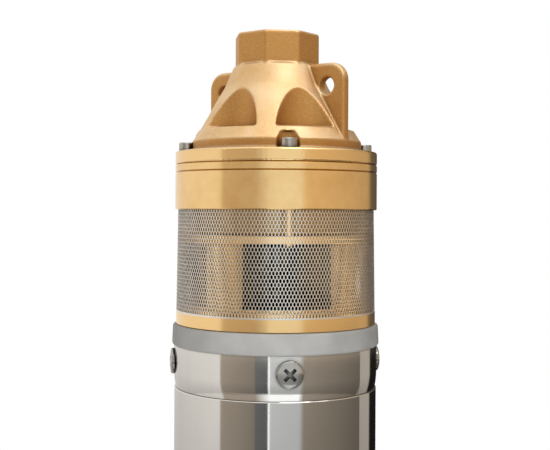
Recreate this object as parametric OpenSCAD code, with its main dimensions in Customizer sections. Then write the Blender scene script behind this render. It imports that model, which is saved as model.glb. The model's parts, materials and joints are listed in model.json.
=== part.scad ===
// Borehole submersible pump: a peripheral-wheel pump on top of an oil-filled motor.
// Millimetres, +Z up, origin at the middle of the base, lifting ears along X.

/* [Motor shell] */
// Outer diameter of the shell
shell_d = 92; // [90:0.5:96]
// Length of the shell tube
shell_len = 293.3; // [270:1:380]
// Wall of the shell tube
shell_wall = 1; // [0.8:0.1:1.4]
// How far the band at the top of the shell reaches below the bracket's spigot
band_past = 1.4; // [1:0.1:6]
// How far the band stands proud of the tube
band_proud = 0.2; // [0.1:0.05:0.4]
// How far the band is rolled in at its lower edge
roll_depth = 0.8; // [0.4:0.05:1]
// Height of the rolled part of the band
roll_h = 7.7; // [5:0.1:9]

/* [Base] */
// Thickness of the base flange below the shell
base_h = 6; // [5:0.5:9]
// Rounding of the base edge
base_round = 2; // [1:0.25:3]
// Depth of the relief inside the foot ring
foot_relief = 1.2; // [0.8:0.1:2]
// Width of the foot ring
foot_w = 6; // [4:0.5:9]

/* [Motor bracket] */
// Height of the grey collar
collar_h = 9.4; // [9:0.1:13]
// How far the grey collar stands out over the shell
collar_overhang = 0.8; // [0.5:0.05:2]
// Rounding of the collar edges
collar_round = 1.2; // [0.6:0.1:1.8]
// How far both brackets reach into the shell
spigot_h = 17.6; // [17:0.2:20]
// Diameter of the cross-head screws that hold the shell
shell_screw_d = 6; // [4:0.5:6]
// Head diameter of these screws
shell_screw_head_d = 11.6; // [9:0.1:12]
// Head height of these screws
shell_screw_head_h = 1.9; // [1.4:0.1:2.6]
// Length of these screws under the head
shell_screw_len = 12; // [9:0.5:16]
// Distance from the end of the shell to its screws
shell_screw_inset = 7.5; // [6.8:0.1:8]

/* [Suction lantern and strainer] */
// Height of the lantern's foot ring
foot_ring_h = 5.6; // [5:0.1:8]
// Diameter of the lantern's foot ring
foot_ring_d = 90.8; // [90:0.1:92]
// Height of the strainer that shows
strainer_h = 46; // [40:0.5:70]
// How far the strainer stands in from the foot ring
strainer_setback = 0.5; // [0.2:0.05:1]
// Thickness of the strainer sheet
strainer_wall = 0.6; // [0.5:0.05:0.8]
// Height from one row of strainer openings to the next
mesh_pitch = 4.8; // [4:0.1:7]
// Height of a strainer opening
mesh_slot_h = 3.4; // [2:0.1:3.6]
// Width of a strainer opening
mesh_slot_w = 3.5; // [2:0.1:4]
// Strainer openings in one row
mesh_cols = 48; // [36:2:54]
// Wall of the lantern
lantern_wall = 5.4; // [4:0.2:7]
// Thickness of the lantern floor
lantern_floor = 4; // [3.5:0.25:5]
// Height of the lantern windows
window_h = 27; // [20:0.5:32]
// Angle that one window takes
window_angle = 54; // [40:1:60]
// Height of the lip above the windows
lip_h = 5; // [3:0.25:6]
// How far the lantern's neck stands in from the strainer
neck_setback = 7.3; // [6.8:0.1:8]
// Diameter of the lantern screws
lantern_screw_d = 5; // [4:0.5:6]

/* [Pump casing] */
// How far the brass casing stands out over the foot ring
casing_overhang = 0.6; // [0.3:0.05:2]
// Height of the pump body
body_h = 16.85; // [15:0.25:22]
// Depth of the skirt that takes the strainer
skirt_depth = 3; // [2:0.25:4]
// Depth of the wheel chamber
chamber_h = 9.75; // [8:0.25:11]
// Thickness of the channel plate
plate_h = 3.45; // [3:0.05:5]
// Depth of the side channel in both walls
channel_depth = 1.6; // [1:0.1:2]
// Angle of the stripper between outlet and inlet
stripper_angle = 36; // [30:2:50]
// Depth of the shadow line at the casing joints
joint_chamfer = 0.4; // [0.2:0.05:0.7]

/* [Discharge head] */
// Thickness of the flange
flange_h = 5.9; // [5:0.1:8]
// Height of the straight band above the flange
cone_band_h = 4.1; // [3:0.1:6]
// Width of the flange's ledge round the cone
flange_ledge = 7.2; // [6.6:0.1:8]
// Diameter at the top of the cone
cone_top_d = 38; // [37:0.2:43]
// Height of the cone
cone_h = 34.7; // [31:0.1:44]
// Width across flats of the octagonal outlet
outlet_af = 36.6; // [36:0.2:40]
// Height of the octagonal outlet
outlet_h = 14.7; // [14:0.1:20]
// Bore of the G1 thread
outlet_bore_d = 30.3; // [28:0.1:30.6]
// Depth of the thread
outlet_depth = 18; // [14:0.5:22]
// Radius of a scallop
scallop_r = 16.6; // [13:0.2:17]
// Distance of a scallop's axis from the pump's axis
scallop_pcr = 41.5; // [41:0.5:44]
// Height of the scallop floor above the flange
scallop_floor = 9.7; // [9:0.1:13]
// Thickness of an ear
ear_t = 4.8; // [4:0.2:7]
// Reach of an ear from the axis
ear_reach = 38.6; // [38:0.1:39.4]
// Corner radius of an ear
ear_corner = 7.8; // [5:0.1:9]
// Edge rounding of an ear
ear_edge = 1.3; // [0.6:0.1:1.8]
// Bore of an ear
ear_bore_d = 7.6; // [5:0.1:8]
// Distance of the ear bore from the axis
ear_bore_pcr = 29.3; // [28.5:0.1:31]
// Depth of the ear bore under the ear's top
ear_bore_drop = 10.1; // [9:0.1:12]
// Diameter of the casing screws
head_screw_d = 4; // [3:0.5:4]
// Length of the casing screws under the head
head_screw_len = 34; // [30:0.5:36]
// How far the casing screws stand in from the casing's edge
head_screw_inset = 5; // [4.6:0.1:5.4]
// Diameter of the screw pockets
pocket_d = 11; // [9:0.5:12]
// Height of the screw pockets
pocket_h = 7.5; // [6:0.25:9]

/* [Shaft and wheel] */
// Shaft diameter in the pump
pump_shaft_d = 12; // [10:0.5:12.5]
// Shaft diameter in the rotor
rotor_shaft_d = 18; // [17.5:0.5:20]
// Room that the casing keeps round the peripheral wheel
wheel_room = 15; // [15:0.25:18]
// Number of vanes on each side of the wheel
wheel_vanes = 36; // [24:2:48]
// Thickness of a vane
vane_t = 1.6; // [1.2:0.1:2]
// Length of a vane
vane_len = 6; // [4:0.25:8]
// Thickness of the web between the vanes
web_t = 1.8; // [1.2:0.1:3]
// Width of the wheel key
key_w = 3; // [2.5:0.25:4]

/* [Motor] */
// Length of the lamination stack
stack_len = 120; // [80:1:130]
// Height of the stack above the base
stack_z = 95; // [85:1:110]
// Diameter of the rotor
rotor_d = 48.4; // [44:0.2:52]
// Gap between rotor and stator
air_gap = 0.3; // [0.2:0.05:0.6]
// Number of stator slots
stator_slots = 24; // [18:6:24]
// Length of a coil end
coil_end_h = 32; // [20:1:36]
// Number of rotor bars
rotor_bars = 18; // [12:1:22]

/* [Bearings] */
// Bore of the ball bearings
bearing_bore = 15; // [14:0.5:16]
// Outer diameter of the ball bearings
bearing_d = 35; // [34:0.5:38]
// Width of the ball bearings
bearing_w = 11; // [10:0.5:12]
// Number of balls
bearing_balls = 8; // [6:1:8]
// Diameter of a ball
ball_d = 5.95; // [5:0.05:6.2]

/* [Cable inlet] */
// Width of the flat cable's opening
inlet_w = 12.4; // [9:0.2:13]
// Height of the flat cable's opening
inlet_h = 4.2; // [3:0.1:4.6]
// Wall of the rubber grommet
grommet_wall = 0.9; // [0.6:0.1:1.2]

/* [Clearances] */
// Radial clearance between pieces that don't move
fit = 0.05; // [0.02:0.01:0.08]
// Clearance between pieces that turn against each other
run = 0.08; // [0.05:0.01:0.1]
// Axial gap on each side of the wheel
wheel_gap = 0.1; // [0.08:0.01:0.2]

/* [Hidden] */
$fn = 96;
// Overlap of solids that are one piece
lap = 0.2;
// Reach of a cut past the face that it opens
past = 1;

// Directions round the axis
screw_angles = [45, 135, 225, 315];
ear_angles = [0, 180];
scallop_angles = [30, 90, 150, 210, 270, 330];
inlet_angle = 90;
port_angle = 270;

// Heights of the joints, from the base up
collar_z = base_h + shell_len;
lantern_z = collar_z + collar_h;
strainer_z = lantern_z + foot_ring_h;
body_z = strainer_z + strainer_h;
body_ceiling = body_z + skirt_depth;
plate_z = body_z + body_h;
head_z = plate_z + plate_h;
flange_top = head_z + flange_h;
cone_z = flange_top + cone_band_h;
cone_top = cone_z + cone_h;
outlet_top = cone_top + outlet_h;

// Shell and brackets
shell_r = shell_d / 2;
shell_in_r = shell_r - shell_wall;
spigot_r = shell_in_r - fit;
spigot_wall = 9;
spigot_in_r = spigot_r - spigot_wall;
collar_r = shell_r + collar_overhang;
collar_web = 12.7;
upper_screw_z = collar_z - shell_screw_inset;
lower_screw_z = base_h + shell_screw_inset;
oring_d = 2.4;
oring_squeeze = 0.5;
oring_groove_w = 2.8;
oring_inset = 2.2;
upper_oring_z = collar_z - spigot_h + oring_inset;
lower_oring_z = base_h + spigot_h - oring_inset;

// Bearings
pitch_r = (bearing_bore + bearing_d) / 4;
ball_r = ball_d / 2;
ball_angles = [for (i = [0 : bearing_balls - 1]) 360 * i / bearing_balls];
land = 0.72 * ball_r;
race_in_r = bearing_bore / 2 + fit;
race_out_r = bearing_d / 2;
cage_h = 7.8;
cage_t = 2;
brg_inset = 1.3;
upper_brg_z = collar_z - spigot_h + brg_inset;
lower_brg_z = base_h + 11;
hub_wall = 3.5;
hub_r = race_out_r + hub_wall;
wave_t = 0.6;
wave_rise = 0.35;
wave_w = 3;
wave_count = 3;
brg_ledge = lower_brg_z - wave_t - 2 * wave_rise;
base_floor = 9.5;

// Shaft and seals
journal_r = bearing_bore / 2;
rotor_shaft_r = rotor_shaft_d / 2;
pump_shaft_r = pump_shaft_d / 2;
lip_seal_h = 7;
lip_seal_r = 13;
lip_seal_z = upper_brg_z + bearing_w + fit;
journal_top = lip_seal_z + lip_seal_h;
boot_floor = 1.2;
boot_wall = 1.6;
seat_h = 3.3;
seat_r = 11;
boot_r = seat_r + boot_wall;
seat_bore_r = pump_shaft_r + 1;
seat_top = lantern_z + boot_floor + seat_h;
face_z = seat_top + run;
face_h = 3;
face_r = 10.6;
carrier_lift = 0.8;
carrier_h = 6.6;
carrier_r = 12.2;
carrier_top = face_z + carrier_lift + carrier_h;
spring_h = 13;
spring_wire = 1.6;
spring_r = 9.4;
spring_turns = 3.5;
clip_t = 1.1;
clip_depth = 0.6;
clip_gap = 50;
seal_clip_z = carrier_top + spring_h;
seal_clip_r = 11;

// Wheel and casing
foot_ring_r = foot_ring_d / 2;
casing_d = foot_ring_d + 2 * casing_overhang;
casing_r = casing_d / 2;
wheel_r = casing_r - wheel_room;
chamber_z = plate_z - chamber_h;
wheel_z = chamber_z + wheel_gap;
wheel_h = chamber_h - 2 * wheel_gap;
wheel_top = wheel_z + wheel_h;
strip_gap = 0.2;
channel_out = 2.8;
channel_r = wheel_r + channel_out;
channel_in_r = wheel_r - vane_len;
port_arc = 26;
shaft_pass = 0.3;
hub_recess_r = 10.5;
hub_recess = 2.6;
wheel_clip_z = wheel_top - hub_recess + fit;
wheel_clip_r = 9;
key_h = 3.2;
key_len = 5;
key_depth = 1.8;
casing_oring_d = 2;
casing_oring_pcr = channel_r + 2.6;

// Lantern
window_sill = 3.7;
window_z = strainer_z + window_sill;
lip_z = window_z + window_h;
strainer_d = foot_ring_d - 2 * strainer_setback;
strainer_r = strainer_d / 2;
strainer_in_r = strainer_r - strainer_wall;
register_r = strainer_in_r - fit;
register_h = 2;
neck_r = strainer_in_r - neck_setback;
neck_wall = 3;
boss_r = 2.9;
lantern_gap = 2.3;
lantern_r = strainer_in_r - lantern_gap;
lantern_in_r = lantern_r - lantern_wall;
lantern_screw_len = 13;
lantern_screw_head_h = 5;
lantern_screw_head_r = 4.25;
lantern_screw_room = 3.35;
lantern_screw_pcr = lantern_in_r - lantern_screw_head_r - lantern_screw_room;
mesh_margin = 1.5;
mesh_web = mesh_pitch - mesh_slot_h;
mesh_rows = floor((strainer_h - 2 * mesh_margin + mesh_web) / mesh_pitch);
mesh_foot = (strainer_h - mesh_rows * mesh_pitch + mesh_web) / 2;

// Head
cone_foot_r = casing_r - flange_ledge;
cone_top_r = cone_top_d / 2;
head_wall = 5;
cavity_r = casing_oring_pcr - casing_oring_d / 2 - 2;
head_screw_pcr = casing_r - head_screw_inset;
head_screw_play = 0.25;
head_screw_head_r = 3.5;
head_screw_head_h = 4;
screw_tip = 0.5;

// Motor
rotor_r = rotor_d / 2;
stator_bore_r = rotor_r + air_gap;
stator_r = shell_in_r - fit;
slot_w = 3.6;
slot_mouth = 1.8;
slot_floor_r = stator_bore_r + 11.5;
slot_lip = 2;
insulation = 0.2;
coil_in_r = stator_bore_r + 1.2;
coil_out_r = slot_floor_r + 1.6;
coil_grip = 6;
coil_round = 4;
bar_r = 2;
bar_pcr = rotor_r - 3.4;
end_ring_h = 8;
end_ring_r = rotor_r - 1;
end_ring_in_r = rotor_shaft_r + 5;

// Fill plug
plug_d = 10;
plug_head_r = 8;
plug_head_h = 3.2;
plug_washer_t = 1;
plug_inset = 6.95;
plug_pcr = spigot_in_r - plug_inset;
plug_recess = 4.6;
plug_socket_af = 6;

// Cable inlet
inlet_z = collar_z + collar_h / 2;
flat_depth = 3.4;
flat_y = collar_r - flat_depth;
gland_t = 1.2;
gland_w = 28;
gland_h = 8;
gland_screw_d = 3;
gland_screw_len = 8;
gland_screw_x = 10.8;
gland_screw_head_r = 2.3;
gland_screw_head_h = 1.5;
grommet_len = 9;
lead_bore_d = 8;
lead_inset = 12.4;
lead_pcr = flat_y - lead_inset;

brass = "#d4aa73";
steel = "#cdc8c1";
dark_steel = "#8b8d90";
grey = "#a3a3a3";
rubber = "#1d1d1e";
ceramic = "#efebe0";
carbon = "#2e2e30";
copper = "#b9743c";
laminations = "#6d7177";
aluminium = "#bcbfc3";

// Points of an arc, in a profile's own plane
function arc(centre, r, from, to, steps = 6) =
    [for (i = [0 : steps]) let (a = from + (to - from) * i / steps) centre + r * [cos(a), sin(a)]];

// Outline of a flat oval with round ends
function oval(w, h) = concat(
    arc([(w - h) / 2, 0], h / 2, -90, 90, 8),
    arc([(h - w) / 2, 0], h / 2, 90, 270, 8)
);

// A turned solid from its half profile
module turned(points) {
    rotate_extrude() polygon(points);
}

// A plain ring
module ring(z, h, r_out, r_in) {
    translate([0, 0, z]) linear_extrude(h) difference() {
        circle(r_out);
        circle(r_in);
    }
}

// Copies of a piece at several directions, at a radius and height
module around(angles, r, z) {
    for (a = angles) rotate([0, 0, a]) translate([r, 0, z]) children();
}

// Copies of a piece whose own Z points outwards from the axis
module outwards(angles, r, z) {
    around(angles, r, z) rotate([0, 90, 0]) children();
}

// A slice of the plane between two directions
module sector(from, to, r) {
    reach = r / cos((to - from) / 4);
    polygon([[0, 0], for (i = [0 : 2]) let (a = from + (to - from) * i / 2) reach * [cos(a), sin(a)]]);
}

// A solid skinned over rings of points; a loop joins its last ring to its first
module skin(rings, loop) {
    n = len(rings[0]);
    m = len(rings);
    points = [for (r = rings) for (p = r) p];
    sides = [for (i = [0 : (loop ? m - 1 : m - 2)]) for (j = [0 : n - 1])
        let (k = (i + 1) % m, l = (j + 1) % n) [i * n + j, i * n + l, k * n + l, k * n + j]];
    ends = loop ? [] : [[for (j = [n - 1 : -1 : 0]) j], [for (j = [0 : n - 1]) (m - 1) * n + j]];
    polyhedron(points, concat(sides, ends));
}

// An O-ring as it lies squeezed in its groove, between two radii
module squeezed_ring(r, z, d, w, h) {
    translate([0, 0, z]) rotate_extrude() translate([r, 0]) intersection() {
        circle(d / 2);
        square([w, h], center = true);
    }
}

// A split ring that snaps into a groove of the shaft
module snap_ring(z, r_out) {
    translate([0, 0, z]) linear_extrude(clip_t) difference() {
        circle(r_out);
        circle(pump_shaft_r - clip_depth + fit);
        sector(-clip_gap / 2, clip_gap / 2, r_out + past);
    }
}

// The groove that a snap ring sits in
module snap_groove(z) {
    ring(z - fit, clip_t + 2 * fit, pump_shaft_r + past, pump_shaft_r - clip_depth);
}

// Discharge head

// Cone, band and flange as one turned casting
module head_casting() {
    shoulder = 1.5;
    foot_fillet = 1.2;
    edge = 0.8;
    slope = atan((cone_foot_r - cone_top_r) / cone_h);
    translate([0, 0, head_z]) turned(concat(
        [[0, 0], [casing_r - joint_chamfer, 0], [casing_r, joint_chamfer]],
        arc([casing_r - edge, flange_h - edge], edge, 0, 90),
        arc([cone_foot_r + foot_fillet, flange_h + foot_fillet], foot_fillet, 270, 180),
        arc([cone_foot_r - shoulder, flange_h + cone_band_h], shoulder, 0, 90 - slope, 4),
        arc([cone_top_r - shoulder, cone_top - head_z - shoulder], shoulder, 90 - slope, 90, 4),
        [[0, cone_top - head_z]]
    ));
}

// Octagonal outlet, its top corners broken by a turned chamfer
module octagon() {
    corner_chamfer = 0.6;
    across_corners = outlet_af / cos(22.5);
    h = outlet_h + lap;
    chamfer_r = across_corners / 2 - corner_chamfer;
    translate([0, 0, cone_top - lap]) intersection() {
        rotate([0, 0, 22.5]) cylinder(h = h, d = across_corners, $fn = 8);
        turned([[0, 0], [outlet_af, 0], [outlet_af, h + chamfer_r - outlet_af], [chamfer_r, h], [0, h]]);
    }
}

// Upright outline of an ear, drawn smaller by an inset
module ear_outline(inset) {
    root = cone_top_r / 2;
    corner = ear_corner - inset;
    centre = [ear_reach - ear_corner, cone_top - ear_corner];
    polygon(concat(
        [[root, flange_top - lap], [ear_reach - inset, flange_top - lap]],
        arc(centre, corner, 0, 90, 8),
        [[root, cone_top - inset]]
    ));
}

// A lifting ear with soft cast edges
module ear() {
    rotate([90, 0, 0]) hull() for (step = [0 : 2]) {
        a = step * 45;
        t = ear_t - 2 * ear_edge * (1 - sin(a));
        translate([0, 0, -t / 2]) linear_extrude(t) ear_outline(ear_edge * (1 - cos(a)));
    }
}

module head_cavity() {
    throat_r = outlet_bore_d / 2 - 2;
    belly_r = scallop_pcr - scallop_r - head_wall;
    turned([
        [0, head_z - past],
        [cavity_r, head_z - past],
        [cavity_r, flange_top - 1],
        [belly_r, flange_top + 3],
        [throat_r, cone_top - head_wall],
        [throat_r, outlet_top],
        [0, outlet_top]
    ]);
}

module discharge_head() {
    color(brass) difference() {
        union() {
            difference() {
                head_casting();
                around(scallop_angles, scallop_pcr, flange_top + scallop_floor)
                    cylinder(h = cone_h + outlet_h, r = scallop_r);
                around(screw_angles, head_screw_pcr, flange_top) cylinder(h = pocket_h, d = pocket_d);
            }
            octagon();
            for (a = ear_angles) rotate([0, 0, a]) ear();
        }
        head_cavity();
        translate([0, 0, outlet_top - outlet_depth]) cylinder(h = outlet_depth + past, d = outlet_bore_d);
        around(ear_angles, ear_bore_pcr, cone_top - ear_bore_drop) rotate([90, 0, 0])
            cylinder(h = ear_t + 2 * past, d = ear_bore_d, center = true);
        around(screw_angles, head_screw_pcr, head_z - past)
            cylinder(h = flange_h + 2 * past, d = head_screw_d + 2 * head_screw_play);
        casing_oring_groove(head_z);
    }
}

// Half of a casing O-ring's groove is in each of the two faces that it seals
module casing_oring_groove(z) {
    h = casing_oring_d - oring_squeeze + 2 * fit;
    w = casing_oring_d + 2 * fit;
    ring(z - h / 2, h, casing_oring_pcr + w / 2, casing_oring_pcr - w / 2);
}

module casing_orings() {
    color(rubber) for (z = [plate_z, head_z])
        squeezed_ring(casing_oring_pcr, z, casing_oring_d, casing_oring_d, casing_oring_d - oring_squeeze);
}

// A socket-head screw that points down from its seat
module socket_screw(d, len, head_r, head_h, key_af) {
    edge = 0.4;
    difference() {
        turned([
            [0, -len], [d / 2 - edge, -len], [d / 2, edge - len], [d / 2, 0],
            [head_r, 0], [head_r, head_h - edge], [head_r - edge, head_h], [0, head_h]
        ]);
        translate([0, 0, head_h / 2]) cylinder(h = head_h, d = key_af / cos(30), $fn = 6);
    }
}

module head_screws() {
    color(dark_steel) around(screw_angles, head_screw_pcr, flange_top)
        socket_screw(head_screw_d, head_screw_len, head_screw_head_r, head_screw_head_h, 3);
}

// Side channel round the wheel, closed by the stripper
module channel_shape() {
    difference() {
        circle(channel_r);
        circle(channel_in_r);
        sector(port_angle - stripper_angle / 2, port_angle + stripper_angle / 2, channel_r + past);
    }
}

// A port at one end of the side channel; side is -1 or 1
module port_shape(side) {
    edge = port_angle + side * stripper_angle / 2;
    intersection() {
        channel_shape();
        sector(min(edge, edge + side * port_arc), max(edge, edge + side * port_arc), channel_r + past);
    }
}

module casing_bolt_holes(z, h) {
    around(screw_angles, head_screw_pcr, z) cylinder(h = h, d = head_screw_d + 2 * head_screw_play);
}

module channel_plate() {
    color(brass) difference() {
        translate([0, 0, plate_z]) turned([
            [0, 0], [casing_r - joint_chamfer, 0], [casing_r, joint_chamfer],
            [casing_r, plate_h - joint_chamfer], [casing_r - joint_chamfer, plate_h], [0, plate_h]
        ]);
        translate([0, 0, plate_z - past]) linear_extrude(channel_depth + past) channel_shape();
        translate([0, 0, plate_z]) linear_extrude(plate_h + past) port_shape(1);
        casing_bolt_holes(plate_z - past, plate_h + 2 * past);
        casing_oring_groove(plate_z);
        casing_oring_groove(head_z);
    }
}

module pump_body() {
    edge = 0.6;
    skirt_r = strainer_r + fit;
    color(brass) difference() {
        translate([0, 0, body_z]) turned(concat(
            [[0, skirt_depth], [skirt_r, skirt_depth], [skirt_r, 0]],
            arc([casing_r - edge, edge], edge, -90, 0),
            [[casing_r, body_h - joint_chamfer], [casing_r - joint_chamfer, body_h], [0, body_h]]
        ));
        translate([0, 0, chamber_z]) linear_extrude(chamber_h + past) {
            circle(wheel_r + strip_gap);
            channel_shape();
        }
        translate([0, 0, chamber_z - channel_depth]) linear_extrude(channel_depth + lap) channel_shape();
        translate([0, 0, body_z]) linear_extrude(body_h) port_shape(-1);
        translate([0, 0, body_z]) cylinder(h = body_h, r = pump_shaft_r + shaft_pass);
        casing_bolt_holes(body_z, body_h + past);
        casing_oring_groove(plate_z);
    }
}

// Suction lantern and strainer

module lantern_casting() {
    lip_round = 1;
    lip_r = strainer_in_r - fit;
    boss_root = neck_r - neck_wall;
    translate([0, 0, lantern_z]) turned([
        [0, 0], [foot_ring_r - joint_chamfer, 0], [foot_ring_r, joint_chamfer],
        [foot_ring_r, foot_ring_h], [register_r, foot_ring_h], [register_r, foot_ring_h + register_h],
        [lantern_r, foot_ring_h + register_h], [lantern_r, lip_z - lantern_z],
        [lip_r, lip_z - lantern_z + lip_round], [lip_r, lip_z - lantern_z + lip_h - lip_round],
        [lip_r - lip_round, lip_z - lantern_z + lip_h], [neck_r, lip_z - lantern_z + lip_h],
        [neck_r, body_ceiling - lantern_z], [0, body_ceiling - lantern_z]
    ]);
    around(screw_angles, head_screw_pcr, lip_z) cylinder(h = body_ceiling - lip_z, r = boss_r);
    around(screw_angles, boss_root, lip_z) translate([0, -boss_r, 0])
        cube([head_screw_pcr - boss_root, 2 * boss_r, body_ceiling - lip_z]);
}

module suction_lantern() {
    floor_z = lantern_z + lantern_floor;
    neck_in_r = neck_r - neck_wall;
    color(brass) difference() {
        lantern_casting();
        turned([
            [0, floor_z], [lantern_in_r, floor_z], [lantern_in_r, lip_z],
            [neck_in_r, lip_z + lip_h], [neck_in_r, body_ceiling + past], [0, body_ceiling + past]
        ]);
        translate([0, 0, window_z]) linear_extrude(window_h)
            for (a = screw_angles) sector(a - window_angle / 2, a + window_angle / 2, lantern_r + past);
        translate([0, 0, lantern_z - past]) cylinder(h = lantern_floor + 2 * past, r = boot_r);
        around(screw_angles, lantern_screw_pcr, lantern_z - past)
            cylinder(h = lantern_floor + 2 * past, d = lantern_screw_d + 2 * head_screw_play);
        around(screw_angles, head_screw_pcr, flange_top - head_screw_len - screw_tip)
            cylinder(h = head_screw_len, d = head_screw_d + 2 * fit);
    }
}

module lantern_screws() {
    color(dark_steel) around(screw_angles, lantern_screw_pcr, lantern_z + lantern_floor)
        socket_screw(lantern_screw_d, lantern_screw_len, lantern_screw_head_r, lantern_screw_head_h, 4);
}

// A sleeve with rows of staggered openings
module strainer() {
    step = 360 / mesh_cols;
    color(steel) translate([0, 0, strainer_z]) difference() {
        ring(0, body_ceiling - strainer_z - fit, strainer_r, strainer_in_r);
        for (row = [0 : mesh_rows - 1], col = [0 : mesh_cols - 1])
            rotate([0, 0, (col + (row % 2) / 2) * step])
                translate([strainer_in_r - past, -mesh_slot_w / 2, mesh_foot + row * mesh_pitch])
                    cube([strainer_wall + 2 * past, mesh_slot_w, mesh_slot_h]);
    }
}

// Mechanical seal

module seal_boot() {
    floor_in_r = seat_bore_r + 1;
    color(rubber) translate([0, 0, lantern_z]) turned([
        [floor_in_r, 0], [boot_r - fit, 0], [boot_r - fit, lantern_floor],
        [seat_r + fit, lantern_floor], [seat_r + fit, boot_floor], [floor_in_r, boot_floor]
    ]);
}

module seal_seat() {
    edge = 0.4;
    color(ceramic) translate([0, 0, lantern_z + boot_floor]) turned([
        [seat_bore_r, 0], [seat_r, 0], [seat_r, seat_h - edge],
        [seat_r - edge, seat_h], [seat_bore_r, seat_h]
    ]);
}

module seal_face() {
    bevel = 1;
    color(carbon) translate([0, 0, face_z]) turned([
        [seat_bore_r, 0], [face_r - bevel, 0], [face_r, bevel], [face_r, face_h], [seat_bore_r, face_h]
    ]);
}

module seal_head() {
    edge = 0.5;
    ledge_r = spring_r + spring_wire;
    shaft_fit_r = pump_shaft_r + fit;
    z = face_z + carrier_lift;
    color(steel) difference() {
        translate([0, 0, z]) turned([
            [shaft_fit_r, 0], [carrier_r, 0], [carrier_r, carrier_h - 2 * edge],
            [ledge_r, carrier_h], [shaft_fit_r, carrier_h]
        ]);
        translate([0, 0, face_z]) cylinder(h = face_h, r = face_r + fit);
    }
}

// Closed-end compression spring round the shaft
module seal_spring() {
    sides = 8;
    per_turn = 20;
    steps = spring_turns * per_turn;
    low = carrier_top + spring_wire / 2 + fit;
    rise = spring_h - spring_wire - 2 * fit;
    color(steel) skin([for (i = [0 : steps]) let (a = 360 * i / per_turn)
        [for (j = [0 : sides - 1]) let (b = 360 * j / sides, r = spring_r + spring_wire / 2 * cos(b))
            [r * cos(a), r * sin(a), low + rise * i / steps + spring_wire / 2 * sin(b)]]], false);
}

module seal_clip() {
    color(dark_steel) snap_ring(seal_clip_z, seal_clip_r);
}

// Rotary lip seal on the journal above the upper bearing
module lip_seal() {
    wall = 1.6;
    lip_r = journal_r + run;
    color(rubber) translate([0, 0, lip_seal_z]) turned([
        [lip_seal_r - wall, 0], [lip_seal_r - fit, 0], [lip_seal_r - fit, lip_seal_h],
        [lip_r + wall, lip_seal_h], [lip_r, lip_seal_h / 2 + wall / 2], [lip_r, lip_seal_h / 2 - wall / 2],
        [lip_r + wall, wall], [lip_r + wall, lip_seal_h - wall], [lip_seal_r - wall, lip_seal_h - wall]
    ]);
}

// Motor bracket and cable inlet

module bracket_casting() {
    draft = 0.3;
    turned(concat(
        [[0, collar_z - spigot_h], [spigot_r - 1, collar_z - spigot_h], [spigot_r, collar_z - spigot_h + 1],
            [spigot_r, collar_z]],
        arc([collar_r + draft - collar_round, collar_z + collar_round], collar_round, -90, 0),
        arc([collar_r - collar_round, lantern_z - collar_round], collar_round, 0, 90),
        [[0, lantern_z]]
    ));
}

// Ring of space under the bracket's web, round the bearing hub
module bracket_relief() {
    turned([
        [hub_r, collar_z - spigot_h - past], [spigot_in_r, collar_z - spigot_h - past],
        [spigot_in_r, lantern_z - collar_web - 2], [spigot_in_r - 2, lantern_z - collar_web],
        [hub_r + 2, lantern_z - collar_web], [hub_r, lantern_z - collar_web - 2]
    ]);
}

// Stepped bore of the bracket: bearing, lip seal and shaft
module bracket_bore() {
    seat = race_out_r + fit;
    pass = pump_shaft_r + 1.5;
    turned([
        [0, collar_z - spigot_h - past], [seat, collar_z - spigot_h - past], [seat, lip_seal_z],
        [lip_seal_r, lip_seal_z], [lip_seal_r, journal_top + fit], [pass, journal_top + 2],
        [pass, lantern_z + past], [0, lantern_z + past]
    ]);
}

// Something drawn on the flat at the back of the collar, looking inwards from it
module on_inlet_flat() {
    rotate([0, 0, inlet_angle - 90]) translate([0, flat_y, inlet_z]) rotate([90, 0, 0]) children();
}

module motor_bracket() {
    groove_r = spigot_r - (oring_d - oring_squeeze);
    grommet_w = inlet_w + 2 * grommet_wall;
    grommet_h = inlet_h + 2 * grommet_wall;
    color(grey) difference() {
        bracket_casting();
        bracket_relief();
        bracket_bore();
        ring(upper_oring_z - oring_groove_w / 2, oring_groove_w, spigot_r + past, groove_r);
        outwards(screw_angles, spigot_in_r - past, upper_screw_z)
            cylinder(h = spigot_wall + 2 * past, d = shell_screw_d + 2 * fit);
        around(screw_angles, lantern_screw_pcr, lantern_z + lantern_floor - lantern_screw_len - screw_tip)
            cylinder(h = lantern_screw_len + past, d = lantern_screw_d + 2 * fit);
        on_inlet_flat() {
            translate([-collar_r, -collar_h, -collar_r]) cube([2 * collar_r, 2 * collar_h, collar_r]);
            linear_extrude(flat_y - lead_pcr) polygon(oval(grommet_w + 2 * fit, grommet_h + 2 * fit));
            for (x = [-gland_screw_x, gland_screw_x]) translate([x, 0, -past])
                cylinder(h = gland_screw_len + past, d = gland_screw_d + 2 * fit);
        }
        around([inlet_angle], lead_pcr, collar_z - spigot_h)
            cylinder(h = inlet_z - collar_z + spigot_h, d = lead_bore_d);
    }
}

module cable_grommet() {
    color(rubber) on_inlet_flat() linear_extrude(grommet_len) difference() {
        polygon(oval(inlet_w + 2 * grommet_wall, inlet_h + 2 * grommet_wall));
        polygon(oval(inlet_w, inlet_h));
    }
}

module gland_plate() {
    corner = gland_h / 2;
    color(steel) on_inlet_flat() translate([0, 0, -gland_t]) linear_extrude(gland_t) difference() {
        polygon(oval(gland_w, 2 * corner));
        polygon(oval(inlet_w + grommet_wall, inlet_h + grommet_wall));
        for (x = [-gland_screw_x, gland_screw_x]) translate([x, 0]) circle(d = gland_screw_d + 2 * fit);
    }
}

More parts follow.
